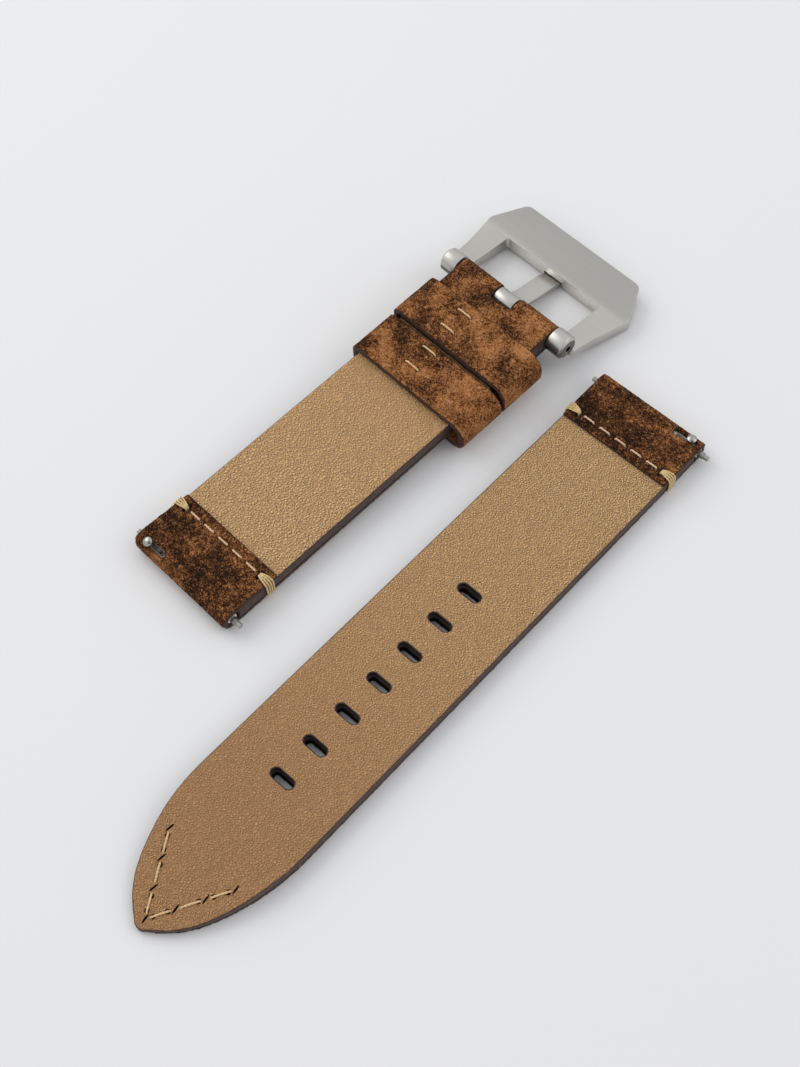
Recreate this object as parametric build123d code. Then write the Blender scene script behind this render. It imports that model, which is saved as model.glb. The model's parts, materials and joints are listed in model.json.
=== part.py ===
from build123d import *
import math
import os

# A two-piece leather watch strap, lying lining side up, in millimetres with +Z up.
# Each half is modelled flat in its own frame: x across, y along from the lug fold,
# z up from the front face, which lies underneath. The halves are placed at the end.

# Strap
strap_width = 22.0
buckle_half_length = 80.1
tail_length = 122.0
buckle_outer_thickness = 1.15
tail_outer_thickness = 0.9
lining_thickness = 1.1
lug_corner_radius = 0.7
overrun = 5.0

# Pocket in a fold, round the bar that it carries
bar_radius = 0.9
pocket_gap = 0.05
pocket_radius = bar_radius + pocket_gap
core_thickness = 2 * pocket_radius - lining_thickness
core_end_gap = 0.35

# Flap of outer leather turned back over the lining
flap_length = 12.1
flap_edge_thickness = 0.45
wrap_length = 18.0
wrap_edge_thickness = 0.75

# Tail holes and tip
slot_count = 7
last_slot_from_tip = 30.15
slot_pitch = 7.15
slot_length = 4.2
slot_width = 1.6
tip_taper_length = 24.0
tip_shoulder_half_width = 7.15
tip_shoulder_from_end = 7.2
tip_nose_half_width = 1.3
tip_nose_from_end = 0.62
tip_thin_length = 16.0
tip_thickness = 1.2
core_skive_length = 3.0
core_end_from_tip = 14.5

# Thread
thread = 0.42
thread_gap = 0.04
awl_hole = 0.62
lug_row_from_end = 10.05
lug_row_stitches = 5
lug_row_pitch = 3.37
lug_row_stitch_length = 2.05
tack_count = 4
tack_groove = 0.12
tack_inset = 2.1
tack_edge_gap = 0.04
tip_row_half_width = 6.4
tip_row_from_end = 12.4
tip_row_apex_from_end = 2.65
tip_row_stitches = 3
tip_row_stitch_share = 0.5

# Quick-release bar, with the bar's middle as its own origin
bar_tube_length = 21.0
bar_wall = 0.25
bar_lip = 0.3
bar_fit = 0.03
tip_radius = 0.45
tip_reach = 2.0
tip_length = 0.95
plug_length = 2.5
plunger_length = 3.6
plunger_end_gap = 0.1
release_travel = 2.0
knob_from_middle = 8.6
knob_stem_radius = 0.3
knob_head_radius = 0.82
knob_head_height = 0.55
knob_dome_height = 0.3
knob_lift = 0.1
tube_slot_width = 0.7
tube_slot_outer_margin = 0.4
tube_slot_inner_margin = 1.05
leather_slot_width = 1.25
leather_slot_outer_margin = 1.0
leather_slot_inner_margin = 1.6
spring_wire = 0.25
spring_wire_sides = 12
spring_turns = 12
spring_end_gap = 0.1
buckle_half_bar_shift = 0.3
tail_bar_shift = -0.3
buckle_half_knob_lean = 20.0
tail_knob_lean = 0.0

# Keepers
keeper_wall = 1.2
keeper_width = 9.6
keeper_left_gap = 0.25
keeper_right_gap = 2.3
keeper_front_gap = 0.95
keeper_back_gap = 0.2
keeper_corner_near = 0.6
keeper_corner_front = 1.1
keeper_corner_far = 1.9
fixed_keeper_to_bar = 6.5
keeper_spacing = 0.6
keeper_stitch_length = 2.9
keeper_stitch_gap = 4.3
fixed_keeper_stitch_x = -2.2
free_keeper_stitch_x = -1.55
fixed_keeper_stitch_offset = 0.45
free_keeper_stitch_offset = 1.2

# Buckle, with the buckle bar's axis as its own origin
ear_radius = 2.3
ear_gap = 0.25
ear_length = 3.35
ear_bevel = 0.45
ear_bore_gap = 0.05
buckle_length = 20.9
window_length = 12.6
window_corner_radius = 0.45
arm_root_half_width = 14.9
arm_half_width = 15.6
arm_station = 6.4
shoulder_half_width = 17.0
shoulder_station = 14.1
end_half_width = 13.55
buckle_corner_radius = 1.6
plate_drop = 2.95
plate_thickness = 2.75
plate_bend_station = 13.0
arm_root_station = 1.2
arm_back_root_drop = 1.25
arm_back_mid_drop = 2.3
arm_front_root_station = 0.4
arm_front_root_drop = 2.25
arm_front_mid_drop = 4.5
front_edge_bevel = 0.9

# Tongue
knuckle_radius = 1.9
knuckle_width = 4.1
knuckle_gap = 0.06
tongue_width = 3.7
tongue_thickness = 1.0
tongue_root_station = 1.0
tongue_root_drop = 0.6
tongue_knee_station = 3.4
tongue_knee_drop = 2.05
tongue_bend_station = 9.2
tongue_bend_drop = 3.55
tongue_rest_station = 12.3
tongue_rest_drop = 4.7
tongue_end_from_edge = 1.6
tongue_side_gap = 0.3
tongue_recess_gap = 0.15
notch_side_gap = 0.25
notch_depth_gap = 0.35

# Spring bar of the buckle
buckle_bar_end_gap = 0.1
buckle_plunger_length = 2.2
buckle_tip_radius = 0.47
buckle_tip_reach = 2.35
buckle_plunger_travel = 2.3
buckle_spring_turns = 12

# How the tail lies beside the buckle half
tail_offset_x = 32.6
tail_offset_y = 80.9
tail_turn = 182.4

# Worked-out sizes
half_width = strap_width / 2
fold_radii = {
    "buckle_half": pocket_radius + buckle_outer_thickness,
    "tail": pocket_radius + tail_outer_thickness,
}
outer_thicknesses = {"buckle_half": buckle_outer_thickness, "tail": tail_outer_thickness}
bar_shifts = {"buckle_half": buckle_half_bar_shift, "tail": tail_bar_shift}
knob_leans = {"buckle_half": buckle_half_knob_lean, "tail": tail_knob_lean}
buckle_bar_y = buckle_half_length - fold_radii["buckle_half"]
buckle_bar_z = fold_radii["buckle_half"]
strap_top = buckle_outer_thickness + 2 * pocket_radius
tail_top = tail_outer_thickness + 2 * pocket_radius
fixed_keeper_start = buckle_bar_y - fixed_keeper_to_bar - keeper_width
free_keeper_start = fixed_keeper_start - keeper_spacing - keeper_width
wrap_start = buckle_half_length - wrap_length
ear_inner_x = half_width + ear_gap
bar_bore_radius = bar_radius - bar_wall


def span(start, end, low, high):
    # Rectangle in a side profile, from its two corners.
    return Pos((start + end) / 2, (low + high) / 2) * Rectangle(end - start, high - low)


def across(profile, width):
    # Solid whose side profile, drawn as (y, z), runs across the strap.
    return extrude(Plane.YZ * profile, amount=width / 2, both=True)


def along_x(radius, start, end):
    # Round rod on the x axis.
    rod = Plane.YZ * Circle(radius)
    return Pos(start, 0, 0) * extrude(rod, amount=end - start)


def fold_profile(radius, bar_y):
    # Half ring of leather round the pocket, on the side of smaller y.
    ring = Circle(radius) - Circle(pocket_radius)
    half = ring & Pos(-radius / 2, 0) * Rectangle(radius, 2 * radius)
    return Pos(bar_y, radius) * half


def flap_profile(radius, length, edge_thickness):
    # Turned-back leather, skived thinner towards its edge.
    top = 2 * radius
    under = radius + pocket_radius
    outline = Polyline(
        (radius, under),
        (length, under),
        (length, under + edge_thickness),
        (radius, top),
        close=True,
    )
    return make_face(outline)


def flap_top(radius, length, edge_thickness, y):
    # Height of a flap's outer surface at distance y from the fold's end.
    top = 2 * radius
    low = radius + pocket_radius + edge_thickness
    return top + (low - top) * (y - radius) / (length - radius)


def tail_top_at(y):
    # Height of the tail's lining side, which thins towards the tip.
    start = tail_length - tip_thin_length
    if y <= start:
        return tail_top
    return tail_top + (tip_thickness - tail_top) * (y - start) / tip_thin_length


def tail_outline():
    # Plan of the tail: straight sides, tangent arcs and a rounded nose.
    side_y = tail_length - tip_taper_length
    shoulder_y = tail_length - tip_shoulder_from_end
    nose_y = tail_length - tip_nose_from_end
    right = Line((half_width, 0), (half_width, side_y))
    right_arc = TangentArc(right @ 1, (tip_shoulder_half_width, shoulder_y), tangent=right % 1)
    right_nose = TangentArc(right_arc @ 1, (tip_nose_half_width, nose_y), tangent=right_arc % 1)
    nose = ThreePointArc(right_nose @ 1, (0, tail_length), (-tip_nose_half_width, nose_y))
    left = Line((-half_width, side_y), (-half_width, 0))
    left_arc = mirror(right_arc, about=Plane.YZ)
    left_nose = mirror(right_nose, about=Plane.YZ)
    end = Line((-half_width, 0), (half_width, 0))
    face = make_face([right, right_arc, right_nose, nose, left_nose, left_arc, left, end])
    return fillet(face.vertices().sort_by(Axis.Y)[:2], lug_corner_radius)


def buckle_half_outline():
    # Plan of the buckle half, with rounded corners at the lug fold.
    face = Pos(0, buckle_half_length / 2) * Rectangle(strap_width, buckle_half_length)
    return fillet(face.vertices().sort_by(Axis.Y)[:2], lug_corner_radius)


def cookie(outline, top):
    # Upright cutter with the shape of a plan.
    return Pos(0, 0, -overrun) * extrude(outline, amount=top + 2 * overrun)


def row_holes_x():
    # Places of the awl holes along a lug row, two for each stitch.
    holes = []
    for index in range(lug_row_stitches):
        middle = (index - (lug_row_stitches - 1) / 2) * lug_row_pitch
        holes.append(middle - lug_row_stitch_length / 2)
        holes.append(middle + lug_row_stitch_length / 2)
    return holes


def tack_hole_x():
    return half_width - tack_inset


def tack_span():
    return tack_count * thread


def upright_hole(width, length, depth):
    return extrude(Rectangle(width, length), amount=depth, both=True)


def lug_row_cuts():
    # Awl holes and slits of the lug row, and the groove that sinks the thread in front.
    cuts = []
    for x in row_holes_x():
        cuts.append(Pos(x, lug_row_from_end, 0) * upright_hole(awl_hole, awl_hole, overrun))
    for side in (-1, 1):
        slit = upright_hole(awl_hole, tack_span() + awl_hole - thread, overrun)
        cuts.append(Pos(side * tack_hole_x(), lug_row_from_end, 0) * slit)
    depth = thread + thread_gap
    last_hole = max(row_holes_x()) + awl_hole / 2
    cuts.append(Pos(0, lug_row_from_end, depth / 2) * Box(2 * last_hole, awl_hole, depth))
    for side in (-1, 1):
        reach = tack_inset + awl_hole / 2
        groove = Box(reach, tack_span() + awl_hole - thread, depth)
        cuts.append(Pos(side * (half_width + awl_hole / 2 - reach / 2), lug_row_from_end, depth / 2) * groove)
    return cuts


def running_thread(holes, tops, lows):
    # Thread of a running stitch: over the first pair of holes, under to the next pair.
    half = thread / 2
    pieces = []
    for index, hole in enumerate(holes):
        pieces.append(span(hole - half, hole + half, lows[index], tops[index] + thread))
    for index in range(len(holes) - 1):
        start, end = holes[index] - half, holes[index + 1] + half
        if index % 2 == 0:
            corners = [
                (start, tops[index]),
                (end, tops[index + 1]),
                (end, tops[index + 1] + thread),
                (start, tops[index] + thread),
            ]
        else:
            corners = [
                (start, lows[index]),
                (end, lows[index + 1]),
                (end, lows[index + 1] + thread),
                (start, lows[index] + thread),
            ]
        pieces.append(make_face(Polyline(*corners, close=True)))
    return Sketch() + pieces


def lug_row_thread(top):
    # The row of stitches across a lug flap.
    holes = row_holes_x()
    tops = [top + thread_gap] * len(holes)
    lows = [0] * len(holes)
    profile = Plane.XZ * running_thread(holes, tops, lows)
    return Pos(0, lug_row_from_end, 0) * extrude(profile, amount=thread / 2, both=True)


def side_tack(top, turn):
    # Thread wound round a strap edge, its turns pressed together: the right-hand one,
    # or the left-hand one with a half turn.
    inner = tack_hole_x() - thread / 2
    outer = half_width + tack_edge_gap + thread
    low, high = 0, top + thread_gap + thread
    loop = span(inner, outer, low, high) - span(inner + thread, outer - thread, low + thread, high - thread)
    band = extrude(Plane.XZ * loop, amount=tack_span() / 2, both=True)
    for index in range(1, tack_count):
        y = (index / tack_count - 1 / 2) * tack_span()
        groove = Pos(outer, y, 0) * Rot(0, 0, 45) * Box(tack_groove, tack_groove, 4 * overrun)
        crown = Pos(0, y, high) * Rot(45, 0, 0) * Box(4 * overrun, tack_groove, tack_groove)
        band -= [groove, crown]
    return Pos(0, lug_row_from_end, 0) * Rot(0, 0, turn) * band


def tip_row_frame(side):
    # Upright plane through one arm of the tip row, from its outer end to the apex.
    start = Vector(side * tip_row_half_width, tail_length - tip_row_from_end, 0)
    end = Vector(side * awl_hole, tail_length - tip_row_apex_from_end, 0)
    direction = (end - start).normalized()
    plane = Plane(origin=start, x_dir=direction, z_dir=direction.cross(Vector(0, 0, 1)))
    return plane, (end - start).length, direction


def tip_row_holes(length):
    pitch = length / (tip_row_stitches - 1 + tip_row_stitch_share)
    holes = []
    for index in range(tip_row_stitches):
        holes.append(index * pitch)
        holes.append(index * pitch + pitch * tip_row_stitch_share)
    return holes


def tip_row_cuts():
    cuts = []
    depth = thread + thread_gap
    for side in (-1, 1):
        plane, length, direction = tip_row_frame(side)
        for hole in tip_row_holes(length):
            cuts.append(plane * Pos(hole, 0, 0) * Box(awl_hole, 2 * overrun, awl_hole))
        groove = span(-awl_hole / 2, length + awl_hole / 2, 0, depth)
        cuts.append(extrude(plane * groove, amount=awl_hole / 2, both=True))
    return cuts


def tip_row_thread():
    # The pointed row of stitches at the tip, one thread in each arm.
    arms = []
    for side in (-1, 1):
        plane, length, direction = tip_row_frame(side)
        holes = tip_row_holes(length)
        start_y = plane.origin.Y
        tops = [tail_top_at(start_y + hole * direction.Y) + 2 * thread_gap for hole in holes]
        lows = [0] * len(holes)
        profile = plane * running_thread(holes, tops, lows)
        arms.append(extrude(profile, amount=thread / 2, both=True))
    return Compound(children=arms)


def tail_slots():
    # Row of holes that the tongue goes through.
    cuts = []
    for index in range(slot_count):
        y = tail_length - last_slot_from_tip - index * slot_pitch
        cuts.append(Pos(0, y, 0) * extrude(SlotOverall(slot_length, slot_width), amount=overrun, both=True))
    return cuts


def knob_frame(half):
    # Frame of the knob: origin on the bar's axis, z along the knob.
    radius = fold_radii[half]
    x = bar_shifts[half] - knob_from_middle
    return Pos(x, radius, radius) * Rot(knob_leans[half], 0, 0)


def leather_slot(half):
    # Opening in the lug fold where the knob slides.
    start = -leather_slot_outer_margin
    end = release_travel + leather_slot_inner_margin
    slot = SlotOverall(end - start, leather_slot_width)
    height = fold_radii[half] + overrun
    return knob_frame(half) * Pos((start + end) / 2, 0, 0) * extrude(slot, amount=height)


def outer_leather(half, outline, extra_profile, extra_cuts):
    radius = fold_radii[half]
    thickness = outer_thicknesses[half]
    profile = fold_profile(radius, radius) + flap_profile(radius, flap_length, flap_edge_thickness)
    profile += extra_profile
    body = across(profile, strap_width) & cookie(outline, 2 * radius)
    return body - lug_row_cuts() - [leather_slot(half)] - extra_cuts


def tail_outer_leather():
    radius = fold_radii["tail"]
    core_end = tail_length - core_end_from_tip
    front = make_face(
        Polyline(
            (radius, 0),
            (tail_length, 0),
            (tail_length, tip_thickness / 2),
            (core_end, tail_outer_thickness),
            (radius, tail_outer_thickness),
            close=True,
        )
    )
    cuts = tail_slots() + tip_row_cuts()
    return outer_leather("tail", tail_outline(), front, cuts)


def tail_core():
    start = fold_radii["tail"] + pocket_radius + core_end_gap
    end = tail_length - core_end_from_tip
    low = tail_outer_thickness
    high = low + core_thickness
    outline = Polyline((start, low), (end, low), (end - core_skive_length, high), (start, high), close=True)
    body = across(make_face(outline), strap_width) & cookie(tail_outline(), high)
    return body - lug_row_cuts() - tail_slots()


def tail_lining():
    start = fold_radii["tail"] + pocket_radius + core_end_gap
    core_end = tail_length - core_end_from_tip
    low = tail_outer_thickness + core_thickness
    outline = Polyline(
        (start, low),
        (core_end - core_skive_length, low),
        (core_end, tail_outer_thickness),
        (tail_length, tip_thickness / 2),
        (tail_length, tip_thickness),
        (tail_length - tip_thin_length, tail_top),
        (start, tail_top),
        close=True,
    )
    body = across(make_face(outline), strap_width) & cookie(tail_outline(), tail_top)
    return body - lug_row_cuts() - tail_slots() - tip_row_cuts()


def notch_cut(knuckle_reach):
    # Gap at the buckle end for the tongue's knuckle, which reaches this far back.
    reach = knuckle_reach + notch_depth_gap
    width = knuckle_width + 2 * notch_side_gap
    start = buckle_bar_y - reach
    depth = buckle_half_length - start + overrun
    return Pos(0, start + depth / 2, 0) * Box(width, depth, 4 * overrun)


def buckle_half_outer_leather():
    radius = fold_radii["buckle_half"]
    front = span(radius, buckle_bar_y, 0, buckle_outer_thickness)
    far_fold = mirror(fold_profile(radius, 0), about=Plane.YZ)
    wrap = mirror(flap_profile(radius, wrap_length, wrap_edge_thickness), about=Plane.YZ)
    extra = front + Pos(buckle_bar_y, 0) * far_fold + Pos(buckle_half_length, 0) * wrap
    knuckle_reach = math.sqrt(knuckle_radius**2 - pocket_radius**2)
    return outer_leather("buckle_half", buckle_half_outline(), extra, [notch_cut(knuckle_reach)])


def buckle_half_layer(low, high):
    # A flat layer between the two folds of the buckle half.
    margin = fold_radii["buckle_half"] + pocket_radius + core_end_gap
    profile = span(margin, buckle_half_length - margin, low, high)
    return across(profile, strap_width) - lug_row_cuts() - notch_cut(knuckle_radius)


def buckle_half_core():
    low = buckle_outer_thickness
    return buckle_half_layer(low, low + core_thickness)


def buckle_half_lining():
    return buckle_half_layer(buckle_outer_thickness + core_thickness, strap_top)


def bar_frame(half):
    return Pos(bar_shifts[half], fold_radii[half], fold_radii[half])


def hollow_tube(length, open_lips):
    # Tube with inner lips at the ends that hold a plunger in.
    tube = along_x(bar_radius, -length / 2, length / 2)
    tube -= along_x(bar_bore_radius, -length / 2 + bar_lip, length / 2 - bar_lip)
    for side, radius in open_lips:
        tube -= along_x(radius, *sorted((0, side * (length / 2 + overrun))))
    return tube


def quick_release_tube(half):
    lips = [(-1, bar_bore_radius), (1, bar_bore_radius)]
    tube = hollow_tube(bar_tube_length, lips)
    start = -knob_from_middle - tube_slot_outer_margin
    end = -knob_from_middle + release_travel + tube_slot_inner_margin
    slot = Pos((start + end) / 2, 0, 0) * extrude(SlotOverall(end - start, tube_slot_width), amount=overrun)
    return bar_frame(half) * (tube - Rot(knob_leans[half], 0, 0) * slot)


def fixed_tip(half):
    # Plug, shoulder and tip at the bar's right-hand end.
    end = bar_tube_length / 2
    shoulder_end = end + tip_reach - tip_length
    tip = along_x(bar_bore_radius, end - plug_length, end)
    tip += along_x(bar_bore_radius - bar_fit, end, shoulder_end)
    tip += along_x(tip_radius, shoulder_end, shoulder_end + tip_length)
    return bar_frame(half) * tip


def bar_plunger(half):
    # Sliding rod at the bar's left-hand end: the knob's stem holds it in the tube.
    tube_end = -bar_tube_length / 2
    shoulder_start = tube_end - tip_reach + tip_length
    body = along_x(bar_bore_radius - bar_fit, shoulder_start, tube_end + plunger_length)
    body += along_x(tip_radius, shoulder_start - tip_length, shoulder_start)
    stem = extrude(Circle(knob_stem_radius), amount=bar_radius)
    body -= Pos(-knob_from_middle, 0, 0) * Rot(knob_leans[half], 0, 0) * stem
    return bar_frame(half) * body


def release_knob(half):
    lift = fold_radii[half] + knob_lift
    stem = extrude(Circle(knob_stem_radius), amount=lift)
    head = Pos(0, 0, lift) * extrude(Circle(knob_head_radius), amount=knob_head_height)
    dome_radius = (knob_head_radius**2 + knob_dome_height**2) / (2 * knob_dome_height)
    dome = Pos(0, 0, lift + knob_head_height + knob_dome_height - dome_radius) * Sphere(dome_radius)
    above = Pos(0, 0, lift + knob_head_height) * extrude(Circle(knob_head_radius), amount=overrun)
    return knob_frame(half) * (stem + head + (dome & above))


def coil_spring(start, end, turns):
    # Compression spring on the x axis, drawn at its pressed length.
    radius = bar_bore_radius - bar_fit - spring_wire / 2
    height = end - start - spring_wire
    path = Helix(pitch=height / turns, height=height, radius=radius)
    section = RegularPolygon(spring_wire / 2, spring_wire_sides)
    wire_face = Plane(origin=path @ 0, z_dir=path % 0) * section
    coil = sweep(wire_face, path=path, is_frenet=True)
    return Pos(start + spring_wire / 2, 0, 0) * Rot(0, 90, 0) * coil


def quick_release_spring(half):
    plunger_end = -bar_tube_length / 2 + plunger_length
    start = plunger_end + release_travel + spring_end_gap
    end = bar_tube_length / 2 - plug_length
    return bar_frame(half) * coil_spring(start, end, spring_turns)


def keeper_loop(top):
    # Closed leather loop, drawn in (x, z): snug on the left, slack on the right.
    left, right = -half_width - keeper_left_gap, half_width + keeper_right_gap
    low = -keeper_front_gap
    radii = (
        ((left, low), keeper_corner_front),
        ((right, low), keeper_corner_far),
        ((right, top), keeper_corner_far),
        ((left, top), keeper_corner_near),
    )
    inner = rounded_outline(radii, 0)
    outer = rounded_outline(radii, keeper_wall)
    loop = extrude(Plane.XZ * (outer - inner), amount=-keeper_width)
    return loop


def rounded_outline(corners, grow):
    # Rounded box from four corners and their radii, grown outwards.
    (left, low), _ = corners[0]
    (right, top), _ = corners[2]
    face = span(left - grow, right + grow, low - grow, top + grow)
    for (x, z), radius in corners:
        spot = Vector(x - grow if x == left else x + grow, z - grow if z == low else z + grow, 0)
        face = fillet(face.vertices().sort_by_distance(spot)[:1], radius + grow)
    return face


def keeper_tops():
    wrap_at_keeper = flap_top(
        fold_radii["buckle_half"],
        wrap_length,
        wrap_edge_thickness,
        buckle_half_length - fixed_keeper_start - keeper_width,
    )
    return {"free_keeper": strap_top + keeper_back_gap, "fixed_keeper": wrap_at_keeper + thread_gap}


keeper_places = {
    "free_keeper": (free_keeper_start, free_keeper_stitch_x, free_keeper_stitch_offset),
    "fixed_keeper": (fixed_keeper_start, fixed_keeper_stitch_x, fixed_keeper_stitch_offset),
}


def keeper_stitch_spots(name):
    start, middle_x, offset = keeper_places[name]
    middle_y = start + keeper_width / 2 + offset
    return [(middle_x, middle_y + side * keeper_stitch_gap / 2) for side in (-1, 1)]


def keeper(name):
    start = keeper_places[name][0]
    top = keeper_tops()[name]
    loop = Pos(0, start, 0) * keeper_loop(top)
    for x, y in keeper_stitch_spots(name):
        for side in (-1, 1):
            hole = upright_hole(awl_hole, awl_hole, keeper_wall)
            loop -= Pos(x + side * keeper_stitch_length / 2, y, top + keeper_wall) * hole
    return loop


def keeper_stitches(name):
    # Two staples of thread that close the loop's seam.
    top = keeper_tops()[name]
    outside = top + keeper_wall + thread_gap
    half = keeper_stitch_length / 2
    inside = top + thread_gap
    profile = span(-half - thread / 2, half + thread / 2, outside, outside + thread)
    for side in (-1, 1):
        profile += span(side * half - thread / 2, side * half + thread / 2, inside, outside)
    staple = extrude(Plane.XZ * profile, amount=thread / 2, both=True)
    return Compound(children=[Pos(x, y, 0) * staple for x, y in keeper_stitch_spots(name)])


def buckle_side_profile():
    # Side view of plate and arms, as (distance from the bar, height from the bar).
    front = -plate_drop - plate_thickness
    back_mid = ((plate_bend_station + arm_root_station) / 2, -arm_back_mid_drop)
    front_mid = ((plate_bend_station + arm_front_root_station) / 2, -arm_front_mid_drop)
    back_arc = ThreePointArc(
        (arm_root_station, -arm_back_root_drop), back_mid, (plate_bend_station, -plate_drop)
    )
    front_arc = ThreePointArc(
        (plate_bend_station, front), front_mid, (arm_front_root_station, -arm_front_root_drop)
    )
    plate = Polyline(
        (plate_bend_station, -plate_drop),
        (buckle_length, -plate_drop),
        (buckle_length, front + front_edge_bevel),
        (buckle_length - front_edge_bevel, front),
        (plate_bend_station, front),
    )
    root = Line((arm_front_root_station, -arm_front_root_drop), (arm_root_station, -arm_back_root_drop))
    return make_face([back_arc, plate, front_arc, root])


def buckle_plan():
    # Plan of the frame: converging arms, wide outer bar with cut corners.
    right = [
        (arm_root_half_width, 0),
        (arm_half_width, arm_station),
        (shoulder_half_width, shoulder_station),
        (end_half_width, buckle_length),
    ]
    left = [(-x, y) for x, y in reversed(right)]
    face = make_face(Polyline(*right, *left, close=True))
    corners = [v for v in face.vertices() if v.Y > arm_station]
    face = fillet(corners, buckle_corner_radius)
    window = Pos(0, window_length / 2 - overrun / 2) * Rectangle(2 * ear_inner_x, window_length + overrun)
    window = fillet(window.vertices().sort_by(Axis.Y)[-2:], window_corner_radius)
    return face - window


def buckle_frame():
    plan = Pos(0, 0, -2 * overrun) * extrude(buckle_plan(), amount=4 * overrun)
    frame = across(buckle_side_profile(), 2 * shoulder_half_width) & plan
    recess_width = tongue_width + 2 * tongue_side_gap
    recess_top = -tongue_rest_drop + tongue_recess_gap
    recess_depth = 2 * overrun
    recess = Box(recess_width, buckle_length, recess_depth)
    recess_y = window_length - window_corner_radius + buckle_length / 2
    frame -= Pos(0, recess_y, recess_top - recess_depth / 2) * recess
    for side in (-1, 1):
        ear = along_x(ear_radius, ear_inner_x, ear_inner_x + ear_length)
        ear = chamfer(ear.edges().sort_by(Axis.X)[-1], ear_bevel)
        ear = ear if side == 1 else mirror(ear, about=Plane.YZ)
        frame += ear
    frame -= along_x(buckle_tip_radius + ear_bore_gap, -shoulder_half_width, shoulder_half_width)
    return frame


def buckle_tongue():
    # Tongue: a knuckle on the bar and a blade that dips under the outer bar.
    end = buckle_length - tongue_end_from_edge
    back = [
        (tongue_root_station, -tongue_root_drop),
        (tongue_knee_station, -tongue_knee_drop),
        (tongue_bend_station, -tongue_bend_drop),
        (tongue_rest_station, -tongue_rest_drop),
        (end, -tongue_rest_drop),
    ]
    front = [
        (end - tongue_thickness / 2, -tongue_rest_drop - tongue_thickness),
        (tongue_rest_station - tongue_thickness / 4, -tongue_rest_drop - tongue_thickness),
        (tongue_bend_station - tongue_thickness / 3, -tongue_bend_drop - tongue_thickness),
        (tongue_knee_station - tongue_thickness / 3, -tongue_knee_drop - tongue_thickness),
        (0, -knuckle_radius),
    ]
    back_curve = Spline(*back[:4])
    front_curve = Spline(*front[1:])
    tail_lines = Polyline(back[3], back[4], front[0], front[1])
    root = Line(front[-1], back[0])
    blade = across(make_face([back_curve, tail_lines, front_curve, root]), tongue_width)
    knuckle = across(Circle(knuckle_radius), knuckle_width)
    bore = across(Circle(bar_radius + knuckle_gap), 2 * knuckle_width)
    return blade + knuckle - bore


def buckle_bar_tube():
    length = 2 * (ear_inner_x - buckle_bar_end_gap)
    opening = buckle_tip_radius + bar_fit
    return hollow_tube(length, [(-1, opening), (1, opening)])


def buckle_bar_plunger():
    # Right-hand plunger of the buckle's spring bar.
    end = ear_inner_x - buckle_bar_end_gap - bar_lip - plunger_end_gap
    body = along_x(bar_bore_radius - bar_fit, end - buckle_plunger_length, end)
    return body + along_x(buckle_tip_radius, end, ear_inner_x + buckle_tip_reach)


def buckle_bar_spring():
    end = ear_inner_x - buckle_bar_end_gap - bar_lip - plunger_end_gap
    half = end - buckle_plunger_length - buckle_plunger_travel - spring_end_gap
    return coil_spring(-half, half, buckle_spring_turns)


def resting_tilt():
    # Angle at which the buckle half lies on its lug fold and on the free keeper.
    radius = fold_radii["buckle_half"]
    along = free_keeper_start - radius
    drop = keeper_front_gap + keeper_wall + radius
    return math.degrees(math.atan2(drop, along) - math.asin(radius / math.hypot(drop, along)))


def buckle_half_frame():
    radius = fold_radii["buckle_half"]
    return Pos(0, radius, radius) * Rot(resting_tilt(), 0, 0) * Pos(0, -radius, -radius)


def quick_release_nodes(half):
    return {
        half + "_bar_tube": quick_release_tube(half),
        half + "_bar_fixed_tip": fixed_tip(half),
        half + "_bar_plunger": bar_plunger(half),
        half + "_release_knob": release_knob(half),
        half + "_bar_spring": quick_release_spring(half),
    }


def row_top(half):
    edge = flap_edge_thickness
    return flap_top(fold_radii[half], flap_length, edge, lug_row_from_end - tack_span() / 2)


def buckle_half_nodes():
    bar = Pos(0, buckle_bar_y, buckle_bar_z)
    plunger = buckle_bar_plunger()
    nodes = {
        "buckle_half_outer_leather": buckle_half_outer_leather(),
        "buckle_half_core": buckle_half_core(),
        "buckle_half_lining": buckle_half_lining(),
        "buckle_half_lug_stitching": lug_row_thread(row_top("buckle_half")),
        "buckle_half_right_tack": side_tack(row_top("buckle_half"), 0),
        "buckle_half_left_tack": side_tack(row_top("buckle_half"), 180),
        "fixed_keeper": keeper("fixed_keeper"),
        "fixed_keeper_stitches": keeper_stitches("fixed_keeper"),
        "free_keeper": keeper("free_keeper"),
        "free_keeper_stitches": keeper_stitches("free_keeper"),
        "buckle_frame": bar * buckle_frame(),
        "buckle_tongue": bar * buckle_tongue(),
        "buckle_bar_tube": bar * buckle_bar_tube(),
        "buckle_bar_plunger_right": bar * plunger,
        "buckle_bar_plunger_left": bar * Rot(0, 0, 180) * plunger,
        "buckle_bar_spring": bar * buckle_bar_spring(),
    }
    nodes.update(quick_release_nodes("buckle_half"))
    return nodes


def tail_nodes():
    nodes = {
        "tail_outer_leather": tail_outer_leather(),
        "tail_core": tail_core(),
        "tail_lining": tail_lining(),
        "tail_lug_stitching": lug_row_thread(row_top("tail")),
        "tail_right_tack": side_tack(row_top("tail"), 0),
        "tail_left_tack": side_tack(row_top("tail"), 180),
        "tail_tip_stitching": tip_row_thread(),
    }
    nodes.update(quick_release_nodes("tail"))
    return nodes


def placed_nodes():
    # Both halves on the table, with the origin under the middle of the whole.
    tail_frame = Pos(tail_offset_x, tail_offset_y, 0) * Rot(0, 0, tail_turn)
    nodes = {name: buckle_half_frame() * shape for name, shape in buckle_half_nodes().items()}
    nodes.update({name: tail_frame * shape for name, shape in tail_nodes().items()})
    box = Compound(list(nodes.values())).bounding_box()
    middle = box.center()
    shift = Pos(-middle.X, -middle.Y, -box.min.Z)
    return {name: shift * shape for name, shape in nodes.items()}


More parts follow.
